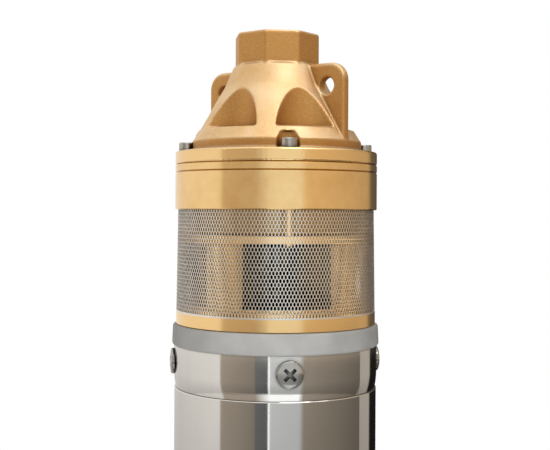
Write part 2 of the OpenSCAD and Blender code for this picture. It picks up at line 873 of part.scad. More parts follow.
// Half profile of a pan head that stands on z = 0: straight rim, round shoulder and low dome
function pan_head(r, h) =
    let (shoulder = 0.45 * h, rim = 0.35 * h, flat_r = r - shoulder, rise = h - rim - shoulder,
        big = (flat_r * flat_r + rise * rise) / (2 * rise), half = asin(flat_r / big))
    concat(
        [[r, 0]],
        arc([flat_r, rim], shoulder, 0, 90, 6),
        arc([0, h - big], big, 90 - half, 90, 6)
    );

// A cross-head pan screw whose head stands on z = 0
module pan_screw(d, len, head_r, head_h) {
    cross_w = 0.26 * head_r;
    cross_l = 1.14 * head_r;
    depth = 0.62 * head_h;
    difference() {
        turned(concat([[0, -len], [d / 2, -len], [d / 2, 0]], pan_head(head_r, head_h)));
        for (a = [45, 135]) rotate([0, 0, a]) translate([-cross_l / 2, -cross_w / 2, head_h - depth])
            cube([cross_l, cross_w, head_h]);
    }
}

module gland_screws() {
    color(dark_steel) on_inlet_flat() for (x = [-gland_screw_x, gland_screw_x])
        translate([x, 0, -gland_t]) rotate([180, 0, 0])
            pan_screw(gland_screw_d, gland_screw_len, gland_screw_head_r, gland_screw_head_h);
}

// Shell, base and their fasteners

module motor_shell() {
    band_r = shell_r + band_proud;
    spigot_end = shell_len - spigot_h;
    edge_z = spigot_end - band_past;
    edge_r = band_r - roll_depth;
    edge_round = 0.4;
    roll_r = (roll_h * roll_h + roll_depth * roll_depth) / (2 * roll_depth);
    color(steel) difference() {
        translate([0, 0, base_h]) turned(concat(
            [[shell_in_r, 0], [shell_r, 0]],
            arc([shell_r - edge_round, edge_z - edge_round], edge_round, 0, 90, 4),
            arc([band_r - roll_r, edge_z + roll_h], roll_r, -asin(roll_h / roll_r), 0, 12),
            [[band_r, shell_len], [shell_in_r, shell_len], [shell_in_r, spigot_end],
                [edge_r - shell_wall, edge_z], [shell_in_r, edge_z - roll_depth]]
        ));
        for (z = [lower_screw_z, upper_screw_z]) outwards(screw_angles, shell_in_r - past, z)
            cylinder(h = shell_wall + band_proud + 2 * past, d = shell_screw_d + 2 * head_screw_play);
    }
}

module shell_screws() {
    color(steel) {
        outwards(screw_angles, shell_r + band_proud, upper_screw_z)
            pan_screw(shell_screw_d, shell_screw_len, shell_screw_head_d / 2, shell_screw_head_h);
        outwards(screw_angles, shell_r, lower_screw_z)
            pan_screw(shell_screw_d, shell_screw_len, shell_screw_head_d / 2, shell_screw_head_h);
    }
}

module shell_orings() {
    mean_r = spigot_r - (oring_d - oring_squeeze) / 2;
    color(rubber) for (z = [lower_oring_z, upper_oring_z])
        squeezed_ring(mean_r, z, oring_d, oring_d - oring_squeeze - fit, oring_d);
}

module base_casting() {
    foot_r = shell_r - base_round;
    turned(concat(
        [[0, foot_relief], [foot_r - foot_w - foot_relief, foot_relief], [foot_r - foot_w, 0]],
        arc([foot_r, base_round], base_round, -90, 0),
        [[shell_r, base_h], [spigot_r, base_h], [spigot_r, base_h + spigot_h - 1],
            [spigot_r - 1, base_h + spigot_h], [0, base_h + spigot_h]]
    ));
    cylinder(h = lower_brg_z + bearing_w, r = hub_r);
}

module base_bracket() {
    groove_r = spigot_r - (oring_d - oring_squeeze);
    shaft_pocket_r = race_out_r - wave_w - 1;
    color(grey) difference() {
        base_casting();
        ring(base_floor, base_h + spigot_h, spigot_in_r, hub_r);
        translate([0, 0, brg_ledge]) cylinder(h = bearing_w + lower_brg_z, r = race_out_r + fit);
        translate([0, 0, base_floor]) cylinder(h = lower_brg_z, r = shaft_pocket_r);
        ring(lower_oring_z - oring_groove_w / 2, oring_groove_w, spigot_r + past, groove_r);
        outwards(screw_angles, spigot_in_r - past, lower_screw_z)
            cylinder(h = spigot_wall + 2 * past, d = shell_screw_d + 2 * fit);
        translate([plug_pcr, 0, 0]) {
            translate([0, 0, -past]) cylinder(h = plug_recess + past, r = plug_head_r + 1);
            cylinder(h = base_floor + past, d = plug_d + 2 * fit);
        }
    }
}

module plug_washer() {
    color(copper) translate([plug_pcr, 0, 0])
        ring(plug_recess - plug_washer_t, plug_washer_t, plug_head_r, plug_d / 2 + fit);
}

module fill_plug() {
    shank = base_floor - plug_recess + plug_washer_t;
    color(steel) translate([plug_pcr, 0, plug_recess - plug_washer_t]) rotate([180, 0, 0])
        socket_screw(plug_d, shank, plug_head_r, plug_head_h, plug_socket_af);
}

// Ball bearings, drawn from their lower face

module outer_race() {
    rotate_extrude() difference() {
        translate([pitch_r + land, 0]) square([race_out_r - pitch_r - land, bearing_w]);
        translate([pitch_r, bearing_w / 2]) circle(ball_r + run);
    }
}

module inner_race() {
    rotate_extrude() difference() {
        translate([race_in_r, 0]) square([pitch_r - land - race_in_r, bearing_w]);
        translate([pitch_r, bearing_w / 2]) circle(ball_r + run);
    }
}

module ball_set() {
    around(ball_angles, pitch_r, bearing_w / 2) sphere(ball_r);
}

module ball_cage() {
    difference() {
        ring((bearing_w - cage_h) / 2, cage_h, pitch_r + cage_t / 2, pitch_r - cage_t / 2);
        outwards(ball_angles, pitch_r, bearing_w / 2) cylinder(h = 2 * cage_t, r = ball_r + run, center = true);
    }
}

module upper_outer_race() { color(dark_steel) translate([0, 0, upper_brg_z]) outer_race(); }
module upper_inner_race() { color(dark_steel) translate([0, 0, upper_brg_z]) inner_race(); }
module upper_balls() { color(steel) translate([0, 0, upper_brg_z]) ball_set(); }
module upper_cage() { color(brass) translate([0, 0, upper_brg_z]) ball_cage(); }
module lower_outer_race() { color(dark_steel) translate([0, 0, lower_brg_z]) outer_race(); }
module lower_inner_race() { color(dark_steel) translate([0, 0, lower_brg_z]) inner_race(); }
module lower_balls() { color(steel) translate([0, 0, lower_brg_z]) ball_set(); }
module lower_cage() { color(brass) translate([0, 0, lower_brg_z]) ball_cage(); }

// Wavy preload washer between the base and the lower bearing
module wave_spring() {
    steps = 60;
    mid_z = (brg_ledge + lower_brg_z) / 2;
    swing = wave_rise - fit;
    section = [[0, -wave_t / 2], [0, wave_t / 2], [-wave_w, wave_t / 2], [-wave_w, -wave_t / 2]];
    rings = [for (i = [0 : steps - 1])
        let (a = 360 * i / steps, z = mid_z + swing * sin(wave_count * a))
        [for (p = section) let (r = race_out_r + p[0]) [r * cos(a), r * sin(a), z + p[1]]]];
    color(steel) skin(rings, true);
}

// Motor

module slot_shape(w, low_r, high_r) {
    translate([low_r, -w / 2]) square([high_r - low_r, w]);
}

module stator_core() {
    color(laminations) translate([0, 0, stack_z]) linear_extrude(stack_len) difference() {
        circle(stator_r);
        circle(stator_bore_r);
        for (i = [0 : stator_slots - 1]) rotate(360 * i / stator_slots) {
            slot_shape(slot_mouth, stator_bore_r - past, stator_bore_r + slot_lip + lap);
            slot_shape(slot_w, stator_bore_r + slot_lip, slot_floor_r);
        }
    }
}

// Both coil ends, joined by the conductors in the slots
module stator_winding() {
    bar_in_r = stator_bore_r + slot_lip + insulation;
    bar_out_r = slot_floor_r - insulation;
    color(copper) {
        for (end = [stack_z - insulation, stack_z + stack_len + insulation]) {
            low = end < stack_z + 1 ? end - coil_end_h : end;
            translate([0, 0, low]) turned(concat(
                arc([coil_in_r + coil_round, coil_round], coil_round, 180, 270),
                arc([coil_out_r - coil_round, coil_round], coil_round, 270, 360),
                arc([coil_out_r - coil_round, coil_end_h - coil_round], coil_round, 0, 90),
                arc([coil_in_r + coil_round, coil_end_h - coil_round], coil_round, 90, 180)
            ));
        }
        for (i = [0 : stator_slots - 1]) rotate([0, 0, 360 * i / stator_slots])
            translate([0, 0, stack_z - insulation - coil_grip])
                linear_extrude(stack_len + 2 * insulation + 2 * coil_grip)
                    slot_shape(slot_w - 2 * insulation, bar_in_r, bar_out_r);
    }
}

module rotor_core() {
    color(laminations) translate([0, 0, stack_z]) linear_extrude(stack_len) difference() {
        circle(rotor_r);
        circle(rotor_shaft_r + fit);
        for (i = [0 : rotor_bars - 1]) rotate(360 * i / rotor_bars) translate([bar_pcr, 0]) circle(bar_r + fit);
    }
}

// Cast end rings and the bars between them
module rotor_cage() {
    color(aluminium) {
        for (z = [stack_z - end_ring_h, stack_z + stack_len]) ring(z, end_ring_h, end_ring_r, end_ring_in_r);
        around([for (i = [0 : rotor_bars - 1]) 360 * i / rotor_bars], bar_pcr, stack_z - end_ring_h / 2)
            cylinder(h = stack_len + end_ring_h, r = bar_r);
    }
}

// Shaft and wheel

module shaft() {
    edge = 0.8;
    tail = lower_brg_z - 1;
    low_shoulder = lower_brg_z + bearing_w;
    top = wheel_top - 0.3;
    color(steel) difference() {
        turned([
            [0, tail], [journal_r - edge, tail], [journal_r, tail + edge], [journal_r, low_shoulder],
            [rotor_shaft_r, low_shoulder], [rotor_shaft_r, upper_brg_z], [journal_r, upper_brg_z],
            [journal_r, journal_top - edge], [pump_shaft_r, journal_top], [pump_shaft_r, top - edge],
            [pump_shaft_r - edge, top], [0, top]
        ]);
        snap_groove(seal_clip_z);
        snap_groove(wheel_clip_z);
        translate([pump_shaft_r - key_depth, -key_w / 2 - fit, wheel_z + 1])
            cube([key_depth + past, key_w + 2 * fit, key_len]);
    }
}

module impeller_key() {
    color(steel) translate([pump_shaft_r - key_depth + fit, -key_w / 2, wheel_z + 1 + fit])
        cube([key_h, key_w, key_len - 2 * fit]);
}

// Outline of the vaned rim: straight-sided cells between radial vanes
module vaned_disc() {
    cell_angle = 360 / wheel_vanes;
    difference() {
        circle(wheel_r);
        for (i = [0 : wheel_vanes - 1]) rotate((i + 0.5) * cell_angle) {
            in_half = channel_in_r * sin(cell_angle / 2) - vane_t / 2;
            out_r = wheel_r + past;
            out_half = out_r * sin(cell_angle / 2) - vane_t / 2;
            polygon([[channel_in_r, -in_half], [out_r, -out_half], [out_r, out_half], [channel_in_r, in_half]]);
        }
    }
}

module impeller() {
    side_h = (wheel_h - web_t) / 2;
    key_reach = pump_shaft_r - key_depth + key_h + 2 * fit;
    color(brass) difference() {
        translate([0, 0, wheel_z]) {
            linear_extrude(side_h) vaned_disc();
            translate([0, 0, side_h]) cylinder(h = web_t, r = wheel_r);
            translate([0, 0, side_h + web_t]) linear_extrude(side_h) vaned_disc();
        }
        translate([0, 0, wheel_z - past]) cylinder(h = wheel_h + 2 * past, r = pump_shaft_r + fit);
        translate([0, -key_w / 2 - fit, wheel_z - past])
            cube([key_reach, key_w + 2 * fit, wheel_h + 2 * past]);
        translate([0, 0, wheel_top - hub_recess]) cylinder(h = hub_recess + past, r = hub_recess_r);
    }
}

module impeller_circlip() {
    color(dark_steel) snap_ring(wheel_clip_z, wheel_clip_r);
}

discharge_head();
head_screws();
casing_orings();
channel_plate();
pump_body();
suction_lantern();
lantern_screws();
strainer();
seal_seat();
seal_boot();
motor_bracket();
shell_orings();
lip_seal();
cable_grommet();
gland_plate();
gland_screws();
upper_outer_race();
upper_balls();
upper_cage();
upper_inner_race();
motor_shell();
shell_screws();
stator_core();
stator_winding();
lower_outer_race();
lower_balls();
lower_cage();
lower_inner_race();
wave_spring();
base_bracket();
fill_plug();
plug_washer();
shaft();
rotor_core();
rotor_cage();
impeller();
impeller_key();
impeller_circlip();
seal_head();
seal_face();
seal_spring();
seal_clip();
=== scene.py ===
"""Studio scene of a borehole submersible pump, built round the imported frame."""
import json
import math

import bmesh
import bpy
from mathutils import Matrix, Vector


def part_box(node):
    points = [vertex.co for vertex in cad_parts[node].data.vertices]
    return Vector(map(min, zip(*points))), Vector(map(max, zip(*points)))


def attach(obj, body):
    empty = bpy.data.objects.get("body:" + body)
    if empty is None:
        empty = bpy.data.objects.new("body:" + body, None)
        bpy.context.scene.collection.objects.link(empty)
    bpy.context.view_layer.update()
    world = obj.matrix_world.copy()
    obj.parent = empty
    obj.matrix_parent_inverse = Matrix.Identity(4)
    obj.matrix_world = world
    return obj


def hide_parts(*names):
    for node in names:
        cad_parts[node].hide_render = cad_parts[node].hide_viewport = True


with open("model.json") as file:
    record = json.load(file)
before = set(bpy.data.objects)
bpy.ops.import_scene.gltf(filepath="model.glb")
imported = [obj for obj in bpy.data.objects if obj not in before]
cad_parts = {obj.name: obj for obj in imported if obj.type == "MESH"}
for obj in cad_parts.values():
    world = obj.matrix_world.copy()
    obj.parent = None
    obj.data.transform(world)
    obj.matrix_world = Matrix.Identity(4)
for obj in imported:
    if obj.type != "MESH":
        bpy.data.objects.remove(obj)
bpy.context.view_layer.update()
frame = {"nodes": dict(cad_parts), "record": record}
nodes = frame["nodes"]
MM = 0.001

# Camera: level but for a small roll, on the side where the right ear turns towards the viewer.
# Angles are in degrees, and names in PX are pixels of the image
VIEW_AZIMUTH = 37.5
VIEW_DISTANCE = 480 * MM
VIEW_HEIGHT = 359.5 * MM
FOCAL_PX = 1046
IMAGE_W, IMAGE_H = 550, 450
HORIZON_PX = 211.6
AXIS_PX = 276.0
CAMERA_ROLL = 0.3
SENSOR = 36.0
CLIP_START = 10 * MM

# Height at which the cast cone begins above the turned flange, and the change of finish below and above it
FLANGE_TOP = 386.5 * MM
FINISH_EDGE = (0.6 * MM, 0.2 * MM)
# Outside of the suction lantern behind the strainer, and its windows' top above the strainer's foot
LANTERN_R = 42 * MM
WINDOW_TOP = 30.7 * MM


# Small helpers

def srgb(r, g, b):
    """A colour given in 0 to 255 display values, as a linear RGBA."""
    def linear(v):
        v /= 255
        return v / 12.92 if v <= 0.04045 else ((v + 0.055) / 1.055) ** 2.4
    return (linear(r), linear(g), linear(b), 1.0)


def direction(angle):
    """Unit vector at a camera-relative azimuth in degrees, positive to the viewer's right."""
    a = math.radians(VIEW_AZIMUTH - 90 + angle)
    return Vector((math.cos(a), math.sin(a), 0))


def link_new(name, data):
    """A new object in the scene, from its data."""
    obj = bpy.data.objects.new(name, data)
    bpy.context.scene.collection.objects.link(obj)
    return obj


def mesh_object(name, verts, faces, smooth=True):
    """A new object in the scene, from points and faces."""
    mesh = bpy.data.meshes.new(name)
    mesh.from_pydata(verts, [], faces)
    mesh.validate()
    mesh.update()
    if smooth:
        mesh.shade_smooth()
    return link_new(name, mesh)


def set_material(obj, mat):
    """Gives an object one material in place of those it had."""
    obj.data.materials.clear()
    obj.data.materials.append(mat)


def copy_of(node, name):
    """A new piece with a copy of a CAD node's mesh."""
    return link_new(name, nodes[node].data.copy())


def combine(obj, operation, tool):
    """Adds a boolean step with another object."""
    step = obj.modifiers.new(tool.name, "BOOLEAN")
    step.operation = operation
    step.object = tool


def apply_modifiers(obj):
    """Turns an object's modifiers into plain mesh."""
    deps = bpy.context.evaluated_depsgraph_get()
    mesh = bpy.data.meshes.new_from_object(obj.evaluated_get(deps))
    obj.modifiers.clear()
    obj.data = mesh


# Node building

# Limits within which most of a noise lies
NOISE_SPAN = (0.3, 0.7)
# Detail and roughness of a noise with soft blotches
BLOTCHES = (2.0, 0.5)
HOLLOW_SAMPLES = 8


def add(tree, kind, settings=None, inputs=None):
    """A node with its settings, and each input linked or set."""
    node = tree.nodes.new(kind)
    for key, value in (settings or {}).items():
        setattr(node, key, value)
    for key, value in (inputs or {}).items():
        if isinstance(value, bpy.types.NodeSocket):
            tree.links.new(value, node.inputs[key])
        else:
            node.inputs[key].default_value = value
    return node


def math_node(tree, operation, a, b=0.0, clamp=False):
    node = add(tree, "ShaderNodeMath", {"operation": operation, "use_clamp": clamp}, {0: a, 1: b})
    return node.outputs[0]


def mix_colour(tree, factor, a, b):
    node = add(tree, "ShaderNodeMix", {"data_type": "RGBA"}, {0: factor, 6: a, 7: b})
    return node.outputs[2]


def remap(tree, value, low, high, to_low, to_high):
    """A value between low and high, brought between two others and held there."""
    node = add(tree, "ShaderNodeMapRange", None, {0: value, 1: low, 2: high, 3: to_low, 4: to_high})
    return node.outputs[0]


def spread(tree, fac, low, high):
    """Noise brought between two values."""
    return remap(tree, fac, *NOISE_SPAN, low, high)


def object_coords(tree, stretch=(1, 1, 1)):
    """Places in the pump's own frame, drawn out along an axis by a stretch below 1."""
    coords = add(tree, "ShaderNodeTexCoord").outputs["Object"]
    if stretch == (1, 1, 1):
        return coords
    return add(tree, "ShaderNodeMapping", None, {"Vector": coords, "Scale": stretch}).outputs[0]


def noise(tree, coords, size, detail=3.0, roughness=0.6):
    """Noise whose lumps are about size metres across."""
    node = add(tree, "ShaderNodeTexNoise", None,
               {"Vector": coords, "Scale": 1 / size, "Detail": detail, "Roughness": roughness})
    return node.outputs["Fac"]


def bump(tree, height, depth):
    inputs = {"Height": height, "Strength": 1.0, "Distance": depth}
    return add(tree, "ShaderNodeBump", None, inputs).outputs[0]


def principled(name, settings):
    """A material with its tree and its main shader, plain sockets already set."""
    mat = bpy.data.materials.new(name)
    mat.use_nodes = True
    tree = mat.node_tree
    shader = tree.nodes["Principled BSDF"]
    for key, value in settings.items():
        shader.inputs[key].default_value = value
    return mat, tree, shader


def empty_material(name):
    """A material with an empty tree."""
    mat = bpy.data.materials.new(name)
    mat.use_nodes = True
    mat.node_tree.nodes.clear()
    return mat, mat.node_tree


def plug(tree, shader, **sockets):
    """Links values to the shader's sockets, named with _ for a space."""
    for key, value in sockets.items():
        tree.links.new(value, shader.inputs[key.replace("_", " ")])


# Materials

# Cast brass: the pale and gold tints are painted top light for upward faces, the deep tint is painted shade
# for upright faces
CAST_TOP_LIT_PALE = srgb(232, 202, 160)
CAST_TOP_LIT_GOLD = srgb(222, 184, 132)
CAST_SIDE_SHADE = srgb(194, 144, 82)
# Brass tint for painted glints, then tints of painted shade for the casting's hollows and tight corners
BRASS_PAINTED_GLINT = srgb(246, 220, 172)
CAST_HOLLOW_SHADE = srgb(140, 88, 40)
CAST_CORNER_SHADE = srgb(104, 62, 26)
TURNED_LIGHT = srgb(242, 204, 144)
TURNED_DARK = srgb(232, 191, 128)
TURNED_ROUGH = (0.13, 0.2)
# Painted shade in the seams of turned brass
SEAM_SHADE = srgb(70, 46, 20)
# Tint of the painted shade inside the suction lantern
INSIDE_SHADE_TINT = srgb(40, 30, 20)
# Painted shade at the steel tube's seams
STEEL_SEAM_SHADE = srgb(70, 66, 60)
STEEL_LIGHT = srgb(230, 227, 222)
STEEL_DARK = srgb(220, 216, 210)
GREY_LIGHT = srgb(158, 157, 154)
GREY_DARK = srgb(148, 147, 144)
# Shares of a tint that are left in stains, and in the painted shade of recesses
STAIN_SHADE = 0.72
RECESS_SHADE = 0.06
# Noise limits of mottled and of stained surfaces
MOTTLE_SPAN = (0.35, 0.65)
STAIN_SPAN = (0.35, 0.7)
# How dark the painted shade inside the suction lantern is on brass, on steel and inside the sleeve, and its
# share round the neck
BRASS_INSIDE_SHADE, STEEL_INSIDE_SHADE, SLEEVE_INSIDE_SHADE = 0.9, 0.75, 0.92
NECK_SHADE = 0.5
# Fade of the painted inside shade at the lantern's outside, below the strainer, above the windows and under
# the pump body
INSIDE_SHADE_EDGE = (0.6 * MM, 0.2 * MM)
INSIDE_SHADE_FOOT = (4 * MM, 3 * MM)
INSIDE_SHADE_STEP = 0.4 * MM
INSIDE_SHADE_TOP = 1 * MM
# How far faces look at the axis, from wholly counted as inward to not at all
INWARD_SPAN = (-0.8, -0.4)
# How much the lathe lines follow the radius beside the height
RADIAL_SHARE = 1.7


def shaded(tint, share):
    return tuple(c * share for c in tint[:3]) + (1.0,)


def off_axis(tree):
    """Place across the pump's axis, and height."""
    split = add(tree, "ShaderNodeSeparateXYZ", None, {0: object_coords(tree)})
    flat = add(tree, "ShaderNodeCombineXYZ", None, {0: split.outputs[0], 1: split.outputs[1]})
    return flat.outputs[0], split.outputs[2]


def radius_and_height(tree):
    """Distance from the pump's axis, and height."""
    flat, height = off_axis(tree)
    length = add(tree, "ShaderNodeVectorMath", {"operation": "LENGTH"}, {0: flat})
    return length.outputs[1], height


def surface_normal(tree):
    return add(tree, "ShaderNodeTexCoord").outputs["Normal"]


def inward(tree):
    """1 on faces that look at the pump's axis, else 0."""
    flat, _ = off_axis(tree)
    out = add(tree, "ShaderNodeVectorMath", {"operation": "NORMALIZE"}, {0: flat}).outputs[0]
    along = add(tree, "ShaderNodeVectorMath", {"operation": "DOT_PRODUCT"}, {0: out, 1: surface_normal(tree)})
    return remap(tree, along.outputs[1], *INWARD_SPAN, 1.0, 0.0)


def paint_inside_shade(tree, colour, share, sleeve=False):
    """Darkens a colour with painted shade on the surfaces inside the suction lantern, or inside the sleeve
    round it.
    """
    foot, top = (corner.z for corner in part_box("strainer"))
    radius, height = radius_and_height(tree)
    if sleeve:
        within = math_node(tree, "MULTIPLY", inward(tree), share)
    else:
        within = remap(tree, radius, LANTERN_R - INSIDE_SHADE_EDGE[0], LANTERN_R - INSIDE_SHADE_EDGE[1], share, 0.0)
    above = remap(tree, height, foot - INSIDE_SHADE_FOOT[0], foot - INSIDE_SHADE_FOOT[1], 0.0, 1.0)
    below = remap(tree, height, foot + WINDOW_TOP - INSIDE_SHADE_STEP, foot + WINDOW_TOP, 1.0, NECK_SHADE)
    under_body = remap(tree, height, top - INSIDE_SHADE_TOP, top, 1.0, 0.0)
    at_windows = math_node(tree, "MULTIPLY", math_node(tree, "MULTIPLY", above, below), under_body)
    return mix_colour(tree, math_node(tree, "MULTIPLY", within, at_windows), colour, INSIDE_SHADE_TINT)


def lathe_lines(tree, size):
    """Fine rings round the pump's axis, from height and radius."""
    radius, height = radius_and_height(tree)
    along = math_node(tree, "ADD", height, math_node(tree, "MULTIPLY", radius, RADIAL_SHARE))
    node = add(tree, "ShaderNodeTexNoise", {"noise_dimensions": "1D"},
               {"W": along, "Scale": 1 / size, "Detail": 4.0, "Roughness": 0.7})
    return node.outputs["Fac"]


def hollow_shade(tree, reach, tight, free, share):
    """A share of painted shade in hollows within reach that are tight, falling to 0 where the surface is
    free.
    """
    open_sky = add(tree, "ShaderNodeAmbientOcclusion", {"samples": HOLLOW_SAMPLES},
                   {"Distance": reach}).outputs["AO"]
    return remap(tree, open_sky, tight, free, share, 0.0)


# Cast brass: sizes of its grain, pits and mottle and of the flange's lathe lines, its relief with the pits'
# share in it, and its roughness
CAST_GRAIN = 0.55 * MM
CAST_PITS = 2.6 * MM
CAST_MOTTLE = 14 * MM
FLANGE_LINES = 0.5 * MM
CAST_RELIEF = 0.09 * MM
PITS_SHARE = 0.8
CAST_ROUGH = (0.42, 0.58)
# How far faces look up, from wholly in painted side shade to wholly in painted top light
TOP_LIGHT_SPAN = (0.02, 0.42)
# Noise limits of the painted glints on the grain's tips and of the painted shade in its gaps, and how strong
# both are
TIP_GLINT_SPAN = (0.48, 0.72)
TIP_GLINT_SHARE = 0.28
GAP_SHADE_SPAN = (0.3, 0.48)
GAP_SHADE_SHARE = 0.24
# Painted shade in wide hollows and in tight corners of the casting, each as (reach, tight, free, share)
CAST_WIDE_SHADE = (6 * MM, 0.35, 0.95, 0.48)
CAST_TIGHT_SHADE = (2 * MM, 0.72, 0.94, 0.92)


def cast_brass():
    """Sand-cast brass: grainy, with painted top light where it faces up and painted shade on upright faces,
    painted glints and shade in its grain, painted shade in hollows, turned on the flange.
    """
    mat, tree, shader = principled("cast_brass", {"Metallic": 1.0})
    coords = object_coords(tree)
    height_above = add(tree, "ShaderNodeSeparateXYZ", None, {0: coords}).outputs[2]
    below_edge, above_edge = FINISH_EDGE
    above = remap(tree, height_above, FLANGE_TOP - below_edge, FLANGE_TOP + above_edge, 0.0, 1.0)
    grain = noise(tree, coords, CAST_GRAIN, detail=4.0, roughness=0.65)
    pits = noise(tree, coords, CAST_PITS)
    mottle = noise(tree, coords, CAST_MOTTLE, *BLOTCHES)
    lines = lathe_lines(tree, FLANGE_LINES)
    facing_z = add(tree, "ShaderNodeSeparateXYZ", None, {0: surface_normal(tree)}).outputs[2]
    # Painted top light on upward faces and painted shade on upright ones
    up = remap(tree, facing_z, *TOP_LIGHT_SPAN, 0.0, 1.0)
    pale = mix_colour(tree, remap(tree, mottle, *MOTTLE_SPAN, 0.0, 1.0), CAST_TOP_LIT_PALE, CAST_TOP_LIT_GOLD)
    colour = mix_colour(tree, up, CAST_SIDE_SHADE, pale)
    # Painted glints on the grain's tips, and painted shade in its gaps, hollows and tight corners
    colour = mix_colour(tree, remap(tree, grain, *TIP_GLINT_SPAN, 0.0, TIP_GLINT_SHARE), colour, BRASS_PAINTED_GLINT)
    colour = mix_colour(tree, remap(tree, grain, *GAP_SHADE_SPAN, GAP_SHADE_SHARE, 0.0), colour, CAST_HOLLOW_SHADE)
    colour = mix_colour(tree, hollow_shade(tree, *CAST_WIDE_SHADE), colour, CAST_HOLLOW_SHADE)
    colour = mix_colour(tree, hollow_shade(tree, *CAST_TIGHT_SHADE), colour, CAST_CORNER_SHADE)
    # Painted shade inside the suction lantern
    colour = paint_inside_shade(tree, mix_colour(tree, above, TURNED_LIGHT, colour), BRASS_INSIDE_SHADE)
    cast_rough = spread(tree, grain, *CAST_ROUGH)
    turned_rough = spread(tree, lines, *TURNED_ROUGH)
    rough = add(tree, "ShaderNodeMix", None, {0: above, 2: turned_rough, 3: cast_rough}).outputs[0]
    grain_height = math_node(tree, "ADD", grain, math_node(tree, "MULTIPLY", pits, PITS_SHARE))
    height = math_node(tree, "MULTIPLY", grain_height, above)
    plug(tree, shader, Base_Color=colour, Roughness=rough, Normal=bump(tree, height, CAST_RELIEF))
    return mat


# Turned brass: sizes of its lathe lines and stains, its relief, how far the lines get painted glints, and the
# painted shade in its seams
TURNED_LINES = 0.4 * MM
TURNED_STAIN = 9 * MM
TURNED_RELIEF = 0.0007 * MM
TURNED_PAINTED_GLINT = 0.15
TURNED_SEAM_SHADE = (1.2 * MM, 0.35, 0.9, 0.9)


def turned_brass():
    """Turned brass with very fine lathe lines, painted glints along them and painted shade in its seams."""
    mat, tree, shader = principled("turned_brass", {"Metallic": 1.0})
    lines = lathe_lines(tree, TURNED_LINES)
    stain = noise(tree, object_coords(tree), TURNED_STAIN)
    colour = mix_colour(tree, remap(tree, stain, *STAIN_SPAN, 0.0, 1.0), TURNED_LIGHT, TURNED_DARK)
    # Painted glints along the lathe lines, and painted shade in the seams
    colour = mix_colour(tree, spread(tree, lines, 0.0, TURNED_PAINTED_GLINT), colour, BRASS_PAINTED_GLINT)
    colour = mix_colour(tree, hollow_shade(tree, *TURNED_SEAM_SHADE), colour, SEAM_SHADE)
    plug(tree, shader, Base_Color=colour, Roughness=spread(tree, lines, *TURNED_ROUGH),
         Normal=bump(tree, lines, TURNED_RELIEF))
    return mat


# Steel tube: rolled lines and smears, both drawn out along the tube, rings and painted shade at seams. The
# rolled lines have a share in its relief, and the smears add to its roughness
ROLLED_LINES = 1.6 * MM
ROLLED_STRETCH = (1, 1, 0.04)
ROLLED_SHARE = 0.5
TUBE_SMEAR = 22 * MM
SMEAR_STRETCH = (1, 1, 0.3)
SMEAR_SPAN = (0.45, 0.7)
SMEAR_ROUGH = 0.03
TUBE_RINGS = 0.9 * MM
TUBE_ROUGH = (0.05, 0.09)
TUBE_RELIEF = 0.0008 * MM
TUBE_SEAM_SHADE = (1.6 * MM, 0.45, 0.92, 0.85)


def polished_steel():
    """Bright rolled stainless tube with faint lengthwise and ring marks."""
    mat, tree, shader = principled("polished_steel", {"Metallic": 1.0})
    rolled = noise(tree, object_coords(tree, ROLLED_STRETCH), ROLLED_LINES)
    rings = lathe_lines(tree, TUBE_RINGS)
    smear = noise(tree, object_coords(tree, SMEAR_STRETCH), TUBE_SMEAR)
    colour = mix_colour(tree, spread(tree, smear, 0.0, 1.0), STEEL_LIGHT, STEEL_DARK)
    # Painted shade at the seams
    colour = mix_colour(tree, hollow_shade(tree, *TUBE_SEAM_SHADE), colour, STEEL_SEAM_SHADE)
    streaks = remap(tree, rings, *STAIN_SPAN, *TUBE_ROUGH)
    rough = math_node(tree, "ADD", streaks, remap(tree, smear, *SMEAR_SPAN, 0.0, SMEAR_ROUGH))
    height = math_node(tree, "ADD", math_node(tree, "MULTIPLY", rolled, ROLLED_SHARE), rings)
    plug(tree, shader, Base_Color=colour, Roughness=rough, Normal=bump(tree, height, TUBE_RELIEF))
    return mat


# Bright steel: sizes of its fine marks and stains, its relief, and the limits of the painted shade in its
# recesses
BRIGHT_MARKS = 0.9 * MM
BRIGHT_STAIN = 5 * MM
BRIGHT_RELIEF = 0.0015 * MM
RECESS_SHADE_SPAN = (0.55, 0.92)


def bright_steel(name, tint, rough, stained=0.5, recess=(1.6 * MM, 0.97), sleeve=False):
    """Plain bright steel for fasteners, sheet and ground pieces, with painted shade in recesses of a (reach,
    share).
    """
    mat, tree, shader = principled(name, {"Metallic": 1.0})
    fine = noise(tree, object_coords(tree), BRIGHT_MARKS)
    stain = noise(tree, object_coords(tree), BRIGHT_STAIN, *BLOTCHES)
    colour = mix_colour(tree, remap(tree, stain, *STAIN_SPAN, 0.0, stained), tint, shaded(tint, STAIN_SHADE))
    # Painted shade in recesses
    hollow = hollow_shade(tree, recess[0], *RECESS_SHADE_SPAN, recess[1])
    colour = mix_colour(tree, hollow, colour, shaded(tint, RECESS_SHADE))
    # Painted shade inside the suction lantern and the sleeve
    colour = paint_inside_shade(tree, colour, SLEEVE_INSIDE_SHADE if sleeve else STEEL_INSIDE_SHADE, sleeve)
    plug(tree, shader, Base_Color=colour, Roughness=spread(tree, fine, *rough),
         Normal=bump(tree, fine, BRIGHT_RELIEF))
    return mat


# Grey collar: sizes of its lathe lines, blasting and stains, its relief with the shares of the first two
# in it, and its roughness
GREY_LINES = 0.6 * MM
GREY_BLAST = 0.35 * MM
GREY_STAIN = 12 * MM
GREY_RELIEF = 0.005 * MM
LINES_SHARE = 0.5
BLAST_SHARE = 0.7
GREY_ROUGH = (0.48, 0.58)


